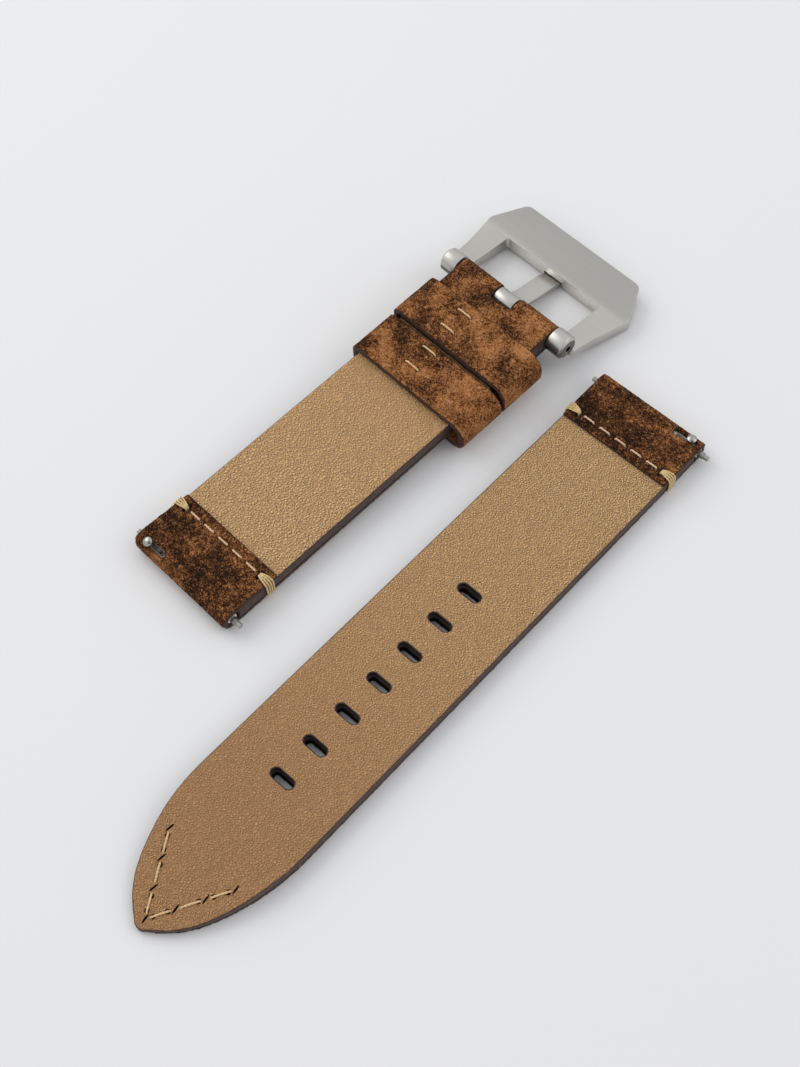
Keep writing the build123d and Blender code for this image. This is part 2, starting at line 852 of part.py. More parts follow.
os.makedirs("parts", exist_ok=True)
for name, shape in placed_nodes().items():
    export_step(shape, "parts/" + name + ".step")
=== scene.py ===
import json
import math

import bpy
from mathutils import Matrix, Vector


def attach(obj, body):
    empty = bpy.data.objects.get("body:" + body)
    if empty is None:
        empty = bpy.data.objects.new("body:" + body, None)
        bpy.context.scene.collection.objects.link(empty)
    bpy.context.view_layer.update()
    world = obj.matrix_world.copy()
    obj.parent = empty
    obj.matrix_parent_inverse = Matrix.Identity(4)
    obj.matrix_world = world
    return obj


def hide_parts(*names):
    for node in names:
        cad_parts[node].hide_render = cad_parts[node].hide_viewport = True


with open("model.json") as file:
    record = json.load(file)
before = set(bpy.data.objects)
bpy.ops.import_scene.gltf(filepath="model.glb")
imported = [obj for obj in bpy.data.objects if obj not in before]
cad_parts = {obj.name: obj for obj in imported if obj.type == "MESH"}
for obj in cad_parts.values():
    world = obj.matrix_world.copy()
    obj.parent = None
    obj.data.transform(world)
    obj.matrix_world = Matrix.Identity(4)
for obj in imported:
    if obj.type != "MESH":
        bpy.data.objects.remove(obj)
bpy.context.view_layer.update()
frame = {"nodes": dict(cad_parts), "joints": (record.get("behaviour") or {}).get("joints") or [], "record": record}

bl_info = {
    "name": "Leather watch strap",
    "version": (1, 0, 0),
    "blender": (4, 5, 0),
    "location": "View3D > Sidebar > Strap",
    "description": "Dresses a two-piece leather watch strap with its leather, thread and steel",
    "category": "Object",
}

MM = 0.001
NODES = frame["nodes"]
JOINTS = {joint["name"]: joint for joint in frame["joints"]}
MOUNTS = {mount["name"]: mount for mount in frame["record"]["mounts"]}


# Sizes of the strap in millimetres, on the axes of a strap half

BUCKLE_BAR = (0.0, 78.0, 2.1)
TAIL_PIN = (11.725, 1.85, 1.85)
TAIL_LENGTH = 122
TAIL_TOP = 2.8
TIP_THIN_FROM, TIP_THIN_LENGTH, TIP_THIN_BY = 106, 16, 1.6
SLOT_PITCH = 7.15
SLOT_COUNT = 7
LAST_SLOT = 91.85
SLOT_HALF_SPAN, SLOT_RADIUS = 1.3, 0.8
SLOTS_FROM, SLOTS_TO = 44, 96
FLAP_TOPS = {"buckle_half": 3.72, "tail": 3.40}
LUG_ROW = 10.05
STITCH_COUNT, STITCH_PITCH, STITCH_REACH = 5, 3.37, 1.025
TACK_TURNS, TACK_SPREAD = 4, 0.43
EAR_INNER, EAR_RADIUS, EAR_HOLE = 11.6, 2.6, 0.85
WINDOW_HALF_WIDTH, WINDOW_FROM, WINDOW_TO = 12.5, 80.5, 93.0
BODIES = {"buckle_half": "buckle_half", "tail": "tail_half"}


# Places

def half_places():
    """Frames of the two strap halves: x across, y from the lug fold, z up from the front face."""
    bar = Vector(JOINTS["buckle_hinge"]["pos_m"])
    y_axis = Vector(JOINTS["free_keeper_slide"]["axis"]).normalized()
    x_axis = Vector((1, 0, 0))
    z_axis = x_axis.cross(y_axis)
    start = bar - y_axis * BUCKLE_BAR[1] * MM - z_axis * BUCKLE_BAR[2] * MM
    buckle = Matrix.Translation(start) @ Matrix((x_axis, y_axis, z_axis)).transposed().to_4x4()
    x_axis = Vector(JOINTS["tail_release_slide"]["axis"]).normalized()
    z_axis = Vector((0, 0, 1))
    y_axis = z_axis.cross(x_axis)
    pin = Vector(MOUNTS["tail_fixed_lug_pin"]["pos_m"])
    start = pin - x_axis * TAIL_PIN[0] * MM - (y_axis + z_axis) * TAIL_PIN[1] * MM
    tail = Matrix.Translation(start) @ Matrix((x_axis, y_axis, z_axis)).transposed().to_4x4()
    return {"buckle_half": buckle, "tail": tail}


PLACES = half_places()


def at(half, x, y, z):
    """A point of a strap half, given in millimetres."""
    return PLACES[half] @ Vector((x * MM, y * MM, z * MM))


# Settings

class StrapSizes(bpy.types.PropertyGroup):
    leather_cell: bpy.props.FloatProperty(
        name="Leather cell", description="Mesh size of the leather pieces, mm",
        default=0.26, min=0.15, max=0.6,
    )
    thread_radius: bpy.props.FloatProperty(
        name="Thread radius", description="Radius of the sewing thread, mm",
        default=0.18, min=0.1, max=0.4,
    )
    thread_twist: bpy.props.FloatProperty(
        name="Thread twist", description="Length of one turn of the thread's plies, mm",
        default=1.2, min=0.5, max=5.0,
    )
    steel_bevel: bpy.props.FloatProperty(
        name="Steel bevel", description="Width of the polished bevels on the buckle, mm",
        default=0.22, min=0.05, max=0.5,
    )


class StrapColours(bpy.types.PropertyGroup):
    lining: bpy.props.FloatVectorProperty(
        name="Lining", description="Colour of the lining", subtype="COLOR", size=3,
        default=(0.67, 0.340, 0.150),
    )
    hide_dark: bpy.props.FloatVectorProperty(
        name="Hide, dark", description="Darkest colour of the hide", subtype="COLOR", size=3,
        default=(0.021, 0.011, 0.007),
    )
    hide_brown: bpy.props.FloatVectorProperty(
        name="Hide, brown", description="Middle colour of the hide", subtype="COLOR", size=3,
        default=(0.150, 0.056, 0.023),
    )
    hide_orange: bpy.props.FloatVectorProperty(
        name="Hide, orange", description="Lightest colour of the hide", subtype="COLOR", size=3,
        default=(0.37, 0.134, 0.040),
    )
    edge_paint: bpy.props.FloatVectorProperty(
        name="Edge paint", description="Colour of the painted edges", subtype="COLOR", size=3,
        default=(0.058, 0.034, 0.028),
    )
    row_thread: bpy.props.FloatVectorProperty(
        name="Row thread", description="Colour of the thread in the rows", subtype="COLOR", size=3,
        default=(0.82, 0.55, 0.36),
    )
    tack_thread: bpy.props.FloatVectorProperty(
        name="Tack thread", description="Colour of the thread round the edges", subtype="COLOR", size=3,
        default=(0.74, 0.54, 0.27),
    )
    steel: bpy.props.FloatVectorProperty(
        name="Steel", description="Colour of the steel", subtype="COLOR", size=3,
        default=(0.44, 0.43, 0.40),
    )


# Shader maths

class Wire:
    """A socket in a material, on which sums can be written."""

    def __init__(self, shop, socket):
        self.shop = shop
        self.socket = socket

    def _math(self, operation, *values):
        return self.shop.node("ShaderNodeMath", {"operation": operation}, dict(enumerate(values)))

    def __add__(self, other):
        return self._math("ADD", self, other)

    def __radd__(self, other):
        return self._math("ADD", other, self)

    def __sub__(self, other):
        return self._math("SUBTRACT", self, other)

    def __rsub__(self, other):
        return self._math("SUBTRACT", other, self)

    def __mul__(self, other):
        return self._math("MULTIPLY", self, other)

    def __rmul__(self, other):
        return self._math("MULTIPLY", other, self)

    def smooth(self, low, high):
        """0 below low, 1 above high, smooth between."""
        return self.shop.node(
            "ShaderNodeMapRange",
            {"interpolation_type": "SMOOTHSTEP"},
            {"Value": self, "From Min": low, "From Max": high, "To Min": 0.0, "To Max": 1.0},
        )


def scaled(colour, factor):
    """A colour times a number, kept in range."""
    return tuple(min(1, part * factor) for part in colour)


class Shop:
    """Makes the nodes of one material."""

    def __init__(self, name):
        self.material = bpy.data.materials.new(name)
        self.material.use_nodes = True
        self.tree = self.material.node_tree
        self.tree.nodes.clear()

    def node(self, kind, settings=None, values=None, output=0):
        made = self.tree.nodes.new(kind)
        for key, value in (settings or {}).items():
            setattr(made, key, value)
        for key, value in (values or {}).items():
            if isinstance(value, Wire):
                self.tree.links.new(value.socket, made.inputs[key])
            else:
                made.inputs[key].default_value = value
        return Wire(self, made.outputs[output]) if len(made.outputs) else None

    def ramp(self, fac, stops):
        made = self.tree.nodes.new("ShaderNodeValToRGB")
        ramp = made.color_ramp
        while len(ramp.elements) < len(stops):
            ramp.elements.new(0.5)
        for element, (place, colour) in zip(ramp.elements, stops):
            element.position = place
            element.color = (*colour, 1)
        self.tree.links.new(fac.socket, made.inputs[0])
        return Wire(self, made.outputs[0])

    def mix(self, fac, first, second):
        made = self.tree.nodes.new("ShaderNodeMix")
        made.data_type = "RGBA"
        for index, value in ((0, fac), (6, first), (7, second)):
            if isinstance(value, Wire):
                self.tree.links.new(value.socket, made.inputs[index])
            else:
                made.inputs[index].default_value = value if index == 0 else (*value, 1)
        return Wire(self, made.outputs[2])

    def coords(self, half=None, stretch=(1, 1, 1)):
        """Object coordinates in millimetres, along the axes of a strap half if one is named."""
        place = self.node("ShaderNodeTexCoord", output=3)
        if half is None:
            return self.node("ShaderNodeMapping", {}, {"Vector": place, "Scale": tuple(s / MM for s in stretch)})
        inverse = PLACES[half].inverted()
        turned = self.node(
            "ShaderNodeMapping",
            {},
            {"Vector": place, "Location": inverse.to_translation(), "Rotation": inverse.to_euler()},
        )
        return self.node("ShaderNodeMapping", {}, {"Vector": turned, "Scale": tuple(s / MM for s in stretch)})

    def noise(self, coords, scale, detail=3.0, rough=0.55, distort=0.0):
        return self.node(
            "ShaderNodeTexNoise",
            {},
            {"Vector": coords, "Scale": scale, "Detail": detail, "Roughness": rough, "Distortion": distort},
        )

    def attribute(self, name):
        return self.node("ShaderNodeAttribute", {"attribute_name": name}, output=2)

    def bump(self, height, strength, distance):
        return self.node("ShaderNodeBump", {}, {"Height": height, "Strength": strength, "Distance": distance * MM})

    def surface(self, **values):
        names = {
            "colour": "Base Color", "roughness": "Roughness", "metallic": "Metallic", "normal": "Normal",
            "specular": "Specular IOR Level",
        }
        shader = self.node("ShaderNodeBsdfPrincipled", {}, {names[key]: value for key, value in values.items()})
        self.node("ShaderNodeOutputMaterial", {}, {"Surface": shader})
        return self.material


def edge_paint_over(shop, colour, roughness, height):
    """Lays the painted edge over a leather where its edge attribute says so, and near black as painted shade on the
    walls of the tail's slots.
    """
    coords = shop.coords()
    colours = bpy.context.scene.strap_colours
    paint = shop.attribute("edge")
    wobble = shop.noise(coords, 1.4, 3.0)
    mask = (paint + (wobble - 0.5) * 0.35).smooth(0.42, 0.62)
    painted = shop.mix(wobble.smooth(0.35, 0.75), tuple(colours.edge_paint), scaled(colours.edge_paint, 1.7))
    # Near black where the edge attribute passes 1.2, on the walls of the tail's slots: painted shade in the deep
    # holes.
    painted = shop.mix(paint.smooth(1.2, 1.8), painted, (0.006, 0.005, 0.005))
    colour = shop.mix(mask, colour, painted)
    roughness = roughness + (0.42 - roughness) * mask
    height = height * (1 - mask * 0.8)
    return colour, roughness, height


def hide_material(name, half, warmth, contrast, seed, flap=False):
    """Distressed nubuck: dark and orange patches under a fine nap."""
    shop = Shop(name)
    colours = bpy.context.scene.strap_colours
    coords = shop.coords(half)
    moved = shop.node("ShaderNodeVectorMath", {"operation": "ADD"}, {0: coords, 1: seed})
    broad = shop.noise(moved, 0.21, 1.0, 0.5, 0.5)
    grain = shop.noise(moved, 1.2, 4.0, 0.9, 0.8)
    nap = shop.noise(moved, 2.7, 3.0, 0.8, 1.6)
    tone = (broad - 0.5) * contrast + (grain - 0.5) * 1.5 + (nap - 0.5) * 2.3 + warmth
    if flap:
        x = shop.node("ShaderNodeSeparateXYZ", {}, {"Vector": coords}, output=0)
        y = shop.node("ShaderNodeSeparateXYZ", {}, {"Vector": coords}, output=1)
        rim = shop.node("ShaderNodeMath", {"operation": "ABSOLUTE"}, {0: x}).smooth(7.5, 11.5)
        fold = y.smooth(2.6, 0.2)
        row = y.smooth(7.6, 9.6) * y.smooth(13.0, 10.5)
        dark = y.smooth(16.0, 13.0)
        tone = tone - dark * 0.17 + (rim * 0.10 + fold * 0.10 + row * 0.05) * dark
    else:
        x = shop.node("ShaderNodeSeparateXYZ", {}, {"Vector": coords}, output=0)
        tone = tone + x.smooth(2.0, 10.0) * 0.09
    colour = shop.ramp(
        tone,
        [
            (0.20, tuple(colours.hide_dark)),
            (0.40, scaled(colours.hide_brown, 0.40)),
            (0.54, tuple(colours.hide_brown)),
            (0.68, tuple(colours.hide_orange)),
            (0.95, (0.68, 0.30, 0.11)),
        ],
    )
    flecks = (nap * 0.7 + grain * 0.3 + (tone - 0.5) * 0.12).smooth(0.54, 0.63)
    colour = shop.mix(flecks * 0.4, colour, (0.66, 0.345, 0.16))
    height = grain + nap * 0.9
    colour, roughness, height = edge_paint_over(shop, colour, grain * 0.12 + 0.82, height)
    normal = shop.bump(height, 1.0, 0.42)
    return shop.surface(colour=colour, roughness=roughness, normal=normal, specular=0.06)


def lining_material(name, half, fineness, shade_from, shade_to, shade):
    """Tan lining leather with a fine pebbled grain, with the window's light on the pebbles painted into the colour
    as highlights and shade.
    """
    shop = Shop(name)
    base = tuple(bpy.context.scene.strap_colours.lining)
    coords = shop.coords(half)
    along = shop.node("ShaderNodeSeparateXYZ", {}, {"Vector": coords}, output=1)
    broad = shop.noise(coords, 0.07, 3.0, 0.5, 0.4)
    warp = shop.noise(coords, 2.2, 2.0)
    bent = shop.node("ShaderNodeVectorMath", {"operation": "ADD"}, {0: coords, 1: warp * 0.35})
    # A copy of the grain shifted towards the window's light; its difference from the grain paints highlights and
    # shade on the pebbles.
    toward = PLACES[half].to_3x3().inverted() @ Vector((-0.16, -0.01, 0))
    light_side_coords = shop.node("ShaderNodeVectorMath", {"operation": "ADD"}, {0: bent, 1: toward})
    pebble, pebble_toward_light = (
        shop.node(
            "ShaderNodeTexVoronoi", {"feature": "DISTANCE_TO_EDGE"}, {"Vector": spot, "Scale": fineness}
        ).smooth(0.0, 0.32)
        for spot in (bent, light_side_coords)
    )
    fine_grain = shop.noise(coords, 4.2, 3.0, 0.75)
    # Darker along each half, from shade_from to shade_to, towards the shade colour.
    darker_along = along.smooth(shade_from, shade_to)
    tone = shop.mix(broad.smooth(0.3, 0.7), scaled(base, 0.95), scaled(base, 1.06))
    tone = shop.mix(darker_along, tone, shade)
    # The grain's speckle is partly the leather's own and partly painted relief shading and highlight.
    grain = ((pebble - pebble_toward_light) * 0.42 + pebble * 0.16 + (fine_grain - 0.5) * 1.6 + 0.46).smooth(0.05, 0.95)
    depth = 1 - darker_along * 0.6
    dark = shop.mix(0.80, tone, scaled(base, 0.26))
    light = shop.mix(0.80, tone, tuple(min(1, c * k) for c, k in zip(base, (1.7, 1.95, 2.1))))
    # Dark and light ends of the speckle: the grain's own tones, with painted shade and painted highlight.
    speckle_and_painted_relief = shop.mix(grain, dark, light)
    colour = shop.mix(depth, tone, speckle_and_painted_relief)
    height = pebble * 0.7 + fine_grain * 0.7
    colour, roughness, height = edge_paint_over(shop, colour, fine_grain * 0.14 + 0.50, height)
    normal = shop.bump(height, 1.0, 0.32)
    return shop.surface(colour=colour, roughness=roughness, normal=normal, specular=0.3)


def board_material():
    """Painted edge of the board between the leathers."""
    shop = Shop("painted_board")
    colours = bpy.context.scene.strap_colours
    coords = shop.coords()
    wobble = shop.noise(coords, 1.2, 4.0)
    paint = tuple(colours.edge_paint)
    colour = shop.mix(wobble.smooth(0.35, 0.7), scaled(paint, 0.8), scaled(paint, 1.5))
    return shop.surface(colour=colour, roughness=wobble * 0.2 + 0.35, normal=shop.bump(wobble, 0.3, 0.08))


def thread_material(name, colour):
    """Waxed thread."""
    shop = Shop(name)
    coords = shop.coords()
    fibre = shop.noise(coords, 5.0, 3.0, 0.6)
    shade = shop.mix(fibre.smooth(0.35, 0.7), scaled(colour, 0.78), scaled(colour, 1.15))
    return shop.surface(colour=shade, roughness=fibre * 0.15 + 0.5, normal=shop.bump(fibre, 0.3, 0.03), specular=0.3)


def brushed_material(name, stretch, tone, roughness):
    """Steel brushed in one direction, lighter on the arms than on the end plate: painted light, for the way the
    light falls on the bent plate.
    """
    shop = Shop(name)
    steel = scaled(bpy.context.scene.strap_colours.steel, tone)
    lines = shop.noise(shop.coords("buckle_half", stretch), 1.0, 4.0, 0.6)
    broad = shop.noise(shop.coords("buckle_half"), 0.15, 2.0)
    y = shop.node("ShaderNodeSeparateXYZ", {}, {"Vector": shop.coords("buckle_half")}, output=1)
    colour = shop.mix(lines.smooth(0.3, 0.7), scaled(steel, 0.96), scaled(steel, 1.03))
    # Painted light: the arms, bent away from the end plate, are lighter.
    painted_light_arms = shop.mix(lines.smooth(0.3, 0.7), scaled(steel, 1.16), scaled(steel, 1.24))
    colour = shop.mix(y.smooth(91.8, 90.2), colour, painted_light_arms)
    rough = lines * 0.12 + broad * 0.06 + (roughness - 0.09)
    normal = shop.bump(lines, 0.18, 0.02)
    return shop.surface(colour=colour, roughness=rough, metallic=1.0, normal=normal)


def polished_material(name, tone, roughness, metallic=1.0):
    """Turned or polished steel, black in the hole through each of the buckle's ears as painted shade."""
    shop = Shop(name)
    steel = tuple(c * tone for c in bpy.context.scene.strap_colours.steel)
    marks = shop.noise(shop.coords(None, (0.6, 6, 6)), 1.0, 3.0)
    colour = shop.mix(marks.smooth(0.3, 0.7), tuple(c * 0.9 for c in steel), scaled(steel, 1.08))
    place = shop.coords("buckle_half")
    off = shop.node("ShaderNodeVectorMath", {"operation": "SUBTRACT"}, {0: place, 1: BUCKLE_BAR})
    off = shop.node("ShaderNodeVectorMath", {"operation": "MULTIPLY"}, {0: off, 1: (0, 1, 1)})
    reach = shop.node("ShaderNodeVectorMath", {"operation": "LENGTH"}, {0: off}, output=1)
    # Painted shade: black within the hole through each ear, round the buckle bar's axis.
    colour = shop.mix(reach.smooth(0.72, 0.56), colour, (0.004, 0.004, 0.004))
    return shop.surface(colour=colour, roughness=marks * 0.1 + roughness, metallic=metallic)


# Mesh helpers

def only(obj):
    """Selects one object alone and makes it the active one."""
    bpy.ops.object.select_all(action="DESELECT")
    obj.select_set(True)
    bpy.context.view_layer.objects.active = obj


def copy_of(node, name):
    """A merged copy of a CAD node's mesh."""
    mesh = NODES[node].data.copy()
    mesh.materials.clear()
    made = bpy.data.objects.new(name, mesh)
    bpy.context.scene.collection.objects.link(made)
    only(made)
    bpy.ops.object.mode_set(mode="EDIT")
    bpy.ops.mesh.select_all(action="SELECT")
    bpy.ops.mesh.remove_doubles(threshold=0.002 * MM)
    bpy.ops.object.mode_set(mode="OBJECT")
    return made


def modify(obj, kind, **settings):
    """Adds a modifier and applies it."""
    only(obj)
    modifier = obj.modifiers.new(kind.lower(), kind)
    for key, value in settings.items():
        setattr(modifier, key, value)
    bpy.ops.object.modifier_apply(modifier=modifier.name)


def shade(obj, angle=None):
    only(obj)
    if angle is None:
        bpy.ops.object.shade_smooth()
    else:
        bpy.ops.object.shade_smooth_by_angle(angle=math.radians(angle))


def slot_gap(x, y):
    """Distance of a point of the tail from the nearest slot's wall, in millimetres, below 0 inside the slot."""
    nearest = LAST_SLOT - SLOT_PITCH * min(max(round((LAST_SLOT - y) / SLOT_PITCH), 0), SLOT_COUNT - 1)
    return math.hypot(max(abs(x) - SLOT_HALF_SPAN, 0), y - nearest) - SLOT_RADIUS


def edge_attribute(obj, half, axes, soft_from=None, soft_to=None):
    """Marks how far each point faces a cut edge of the leather: its share along the given axes. On the walls of the
    tail's slots the mark rises towards 2, where painted shade goes.
    """
    turn = PLACES[half].to_3x3().inverted()
    inverse = PLACES[half].inverted()
    values = []
    for vertex in obj.data.vertices:
        normal = turn @ vertex.normal
        y = (inverse @ vertex.co).y / MM
        reach = abs(normal.x) if "x" in axes else 0.0
        if "y" in axes and (soft_from is None or soft_from < y < soft_to):
            reach = math.hypot(reach, normal.y)
        # Near the slots' walls the mark goes up to 2, for the near-black painted shade in the holes.
        if half == "tail" and SLOTS_FROM < y < SLOTS_TO:
            gap = slot_gap((inverse @ vertex.co).x / MM, y)
            if gap < 0.8:
                reach = 2 - min(max(gap - 0.05, 0) * 8, 2)
        values.append(reach)
    layer = obj.data.attributes.new("edge", "FLOAT", "POINT")
    layer.data.foreach_set("value", values)


def fray(obj):
    """Lets the hide's cut fibres stand a little way into the tail's slots."""
    inverse = PLACES["tail"].inverted()
    turn = PLACES["tail"].to_3x3()
    for vertex in obj.data.vertices:
        spot = inverse @ vertex.co / MM
        if SLOTS_FROM < spot.y < SLOTS_TO and slot_gap(spot.x, spot.y) < 0.1:
            normal = turn.inverted() @ vertex.normal
            vertex.co += turn @ Vector((normal.x, normal.y, 0)) * 0.28 * MM
    obj.data.update()


def leather(node, name, half, material, cell, axes, fold_from=None, fold_to=None, soften=3):
    """A leather layer: an even mesh with eased edges, in the place of a CAD node."""
    made = copy_of(node, name)
    made.data.transform(PLACES[half].inverted())
    modify(made, "REMESH", mode="VOXEL", voxel_size=cell * MM, adaptivity=0.0)
    modify(made, "SMOOTH", factor=0.5, iterations=soften)
    made.data.transform(PLACES[half])
    made.data.update()
    edge_attribute(made, half, axes, fold_from, fold_to)
    made.data.materials.append(material)
    shade(made)
    return made


def nap(obj, strength, size):
    """Raises the uneven surface of the hide."""
    texture = bpy.data.textures.new(obj.name + "_nap", "CLOUDS")
    texture.noise_scale = size * MM
    texture.noise_depth = 3
    modify(obj, "DISPLACE", texture=texture, strength=strength * MM, mid_level=0.5, texture_coords="LOCAL")


def smooth_path(points, closed, step):
    """Points along a rounded path through the given points."""
    count = len(points)
    made = []
    spans = count if closed else count - 1
    for index in range(spans):
        def pick(offset):
            spot = index + offset
            return points[spot % count] if closed else points[min(max(spot, 0), count - 1)]
        before, start, end, after = pick(-1), pick(0), pick(1), pick(2)
        steps = max(2, int((end - start).length / (step * MM)))
        for part in range(steps):
            t = part / steps
            a = -0.5 * t + t**2 - 0.5 * t**3
            b = 1 - 2.5 * t**2 + 1.5 * t**3
            c = 0.5 * t + 2 * t**2 - 1.5 * t**3
            d = -0.5 * t**2 + 0.5 * t**3
            made.append(before * a + start * b + end * c + after * d)
    if not closed:
        made.append(points[-1].copy())
    return made


def plies(curve, points, closed=False, count=2):
    """Adds the twisted plies of one thread to a curve, along a path of points in the row frame."""
    sizes = bpy.context.scene.strap_sizes
    path = smooth_path(points, closed, 0.16)
    total = len(path)
    lengths = [0.0]
    for index in range(1, total):
        lengths.append(lengths[-1] + (path[index] - path[index - 1]).length)
    whole = lengths[-1] + ((path[0] - path[-1]).length if closed else 0)
    turns = max(1, round(whole / (sizes.thread_twist * MM))) if closed else whole / (sizes.thread_twist * MM)
    side = Vector((0.13, 0.31, 0.94))
    frames = []
    for index in range(total):
        ahead = path[(index + 1) % total] if closed else path[min(index + 1, total - 1)]
        behind = path[index - 1] if closed or index else path[0]
        tangent = (ahead - behind).normalized()
        side = (side - tangent * side.dot(tangent)).normalized()
        frames.append((side, tangent.cross(side)))
    offset = sizes.thread_radius * 0.34 * MM
    for ply in range(count):
        spline = curve.splines.new("POLY")
        spline.points.add(total - 1)
        for index, (spot, (across, over)) in enumerate(zip(path, frames)):
            angle = 2 * math.pi * (lengths[index] / whole * turns + ply / count)
            spot = spot + across * math.cos(angle) * offset + over * math.sin(angle) * offset
            spline.points[index].co = (*spot, 1)
        spline.use_cyclic_u = closed


def thread_piece(name, paths, material, closed=False):
    """A piece of twisted thread along one or more paths."""
    curve = bpy.data.curves.new(name, "CURVE")
    curve.dimensions = "3D"
    curve.bevel_depth = bpy.context.scene.strap_sizes.thread_radius * 0.70 * MM
    curve.bevel_resolution = 1
    curve.use_fill_caps = not closed
    for path in paths:
        plies(curve, path, closed)
    made = bpy.data.objects.new(name, curve)
    bpy.context.scene.collection.objects.link(made)
    only(made)
    bpy.ops.object.convert(target="MESH")
    made.data.materials.append(material)
    shade(made)
    return made


def settle(obj, body, slot, *nodes):
    """Attaches a finished piece to its body and hides the CAD nodes that it stands for. Its finish, the slot
    argument, is not used.
    """
    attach(obj, body)
    if nodes:
        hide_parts(*nodes)


# Leather

class STRAP_OT_leather(bpy.types.Operator):
    """Models the leather layers of both strap halves"""

    bl_idname = "strap.leather"
    bl_label = "Leather layers"

    def execute(self, context):
        cell = context.scene.strap_sizes.leather_cell
        board = board_material()
        soft = {"buckle_half": (2.4, 77.6), "tail": (2.2, 200.0)}
        shades = {
            "buckle_half": (2.1, 20.0, 70.0, (0.60, 0.315, 0.138)),
            "tail": (2.5, 8.0, 112.0, (0.44, 0.205, 0.084)),
        }
        seeds = {"buckle_half": (3.1, 7.7, 1.9), "tail": (41.3, 12.9, 5.2)}
        for half, body in BODIES.items():
            hide = hide_material(half + "_hide", half, 0.56, 0.85, seeds[half], flap=True)
            outer = leather(half + "_outer_leather", half + "_hide_layer", half, hide, cell, "xy", *soft[half])
            if half == "tail":
                fray(outer)
            nap(outer, 0.20, 0.5)
            settle(outer, body, "distressed_leather", half + "_outer_leather")
            lining = lining_material(half + "_lining_leather", half, *shades[half])
            inner = leather(half + "_lining", half + "_lining_layer", half, lining, cell * 0.92, "xy", soften=3)
            if half == "tail":
                cut_slits(inner)
            settle(inner, body, "lining_leather", half + "_lining")
            middle = leather(half + "_core", half + "_core_layer", half, board, cell * 1.2, "xy", soften=2)
            settle(middle, body, "core_board", half + "_core")
        return {"FINISHED"}


class STRAP_OT_keepers(bpy.types.Operator):
    """Models the two leather loops"""

    bl_idname = "strap.keepers"
    bl_label = "Keepers"

    def execute(self, context):
        cell = context.scene.strap_sizes.leather_cell
        for name, body, seed in (
            ("free_keeper", "free_keeper", (5.0, 60.0, 3.0)),
            ("fixed_keeper", "buckle_half", (9.0, 23.0, 8.0)),
        ):
            hide = hide_material(name + "_hide", "buckle_half", 0.625, 1.1, seed)
            loop = leather(name, name + "_loop", "buckle_half", hide, cell * 0.8, "y", 0.0, 200.0)
            nap(loop, 0.18, 0.5)
            settle(loop, body, "keeper_leather", name)
        return {"FINISHED"}


# Thread

def row_x():
    """Places of the holes along a lug row, two to a stitch."""
    places = []
    for index in range(STITCH_COUNT):
        middle = (index - 2) * STITCH_PITCH
        places += [middle - STITCH_REACH, middle + STITCH_REACH]
    return places


def lug_row_path(half):
    """The running thread of a lug row, over and under the leather."""
    top = FLAP_TOPS[half]
    points = []
    for index, x in enumerate(row_x()):
        upper, lower = at(half, x, LUG_ROW, top - 0.25), at(half, x, LUG_ROW, 0.55)
        inward = 0.5 if index % 2 == 0 else -0.5
        above = at(half, x + inward, LUG_ROW, top - 0.02)
        below = at(half, x - inward, LUG_ROW, 0.24)
        if index % 2 == 0:
            points += ([below] if index else []) + [lower, upper, above]
        else:
            points += [above, upper, lower] + ([below] if index < 2 * STITCH_COUNT - 1 else [])
    return points


def tack_paths(half, side):
    """Turns of thread fanned from one hole round the strap's edge."""
    top = FLAP_TOPS[half]
    paths = []
    for index in range(TACK_TURNS):
        fan = (index - 1.5) * TACK_SPREAD
        y = LUG_ROW
        spots = [
            (8.86, y + 0.35 * fan, top - 0.7),
            (8.98, y + 0.40 * fan, top + 0.12),
            (9.9, y + 0.85 * fan, top + 0.30),
            (10.75, y + 1.05 * fan, top + 0.24),
            (11.2, y + 1.1 * fan, top - 0.22),
            (11.27, y + 1.05 * fan, 1.9),
            (11.22, y + fan, 0.62),
            (10.75, y + fan, 0.26),
            (9.5, y + 0.8 * fan, 0.25),
            (8.9, y + 0.4 * fan, 0.6),
        ]
        paths.append([at(half, side * x, spot, z) for x, spot, z in spots])
    return paths


def tip_row(side):
    """Start, direction and pitch of one arm of the tip row, in millimetres on the tail."""
    start, end = Vector((side * 6.4, TAIL_LENGTH - 12.4)), Vector((side * 0.62, TAIL_LENGTH - 2.65))
    length = (end - start).length
    return start, (end - start) / length, length / 2.5


def tip_top(y):
    """Height of the tail's lining side, which thins towards the tip."""
    return TAIL_TOP if y < TIP_THIN_FROM else TAIL_TOP - TIP_THIN_BY * (y - TIP_THIN_FROM) / TIP_THIN_LENGTH


def tip_paths():
    """The pointed row of stitches at the tail's tip."""
    paths = []
    for side in (-1, 1):
        start, direction, pitch = tip_row(side)
        points = []
        for index in range(6):
            hole = (index // 2) * pitch + (index % 2) * pitch * 0.5 + (0.4 if index % 2 else -0.4)
            spot = start + direction * hole
            top = tip_top(spot.y)
            inward = direction * (0.45 if index % 2 == 0 else -0.45)
            upper, lower = at("tail", *spot, top - 0.3), at("tail", *spot, 0.45)
            above = at("tail", *(spot + inward), top + 0.04)
            below = at("tail", *(spot - inward), 0.24)
            if index % 2 == 0:
                points += ([below] if index else []) + [lower, upper, above]
            else:
                points += [above, upper, lower] + ([below] if index < 5 else [])
        paths.append(points)
    return paths


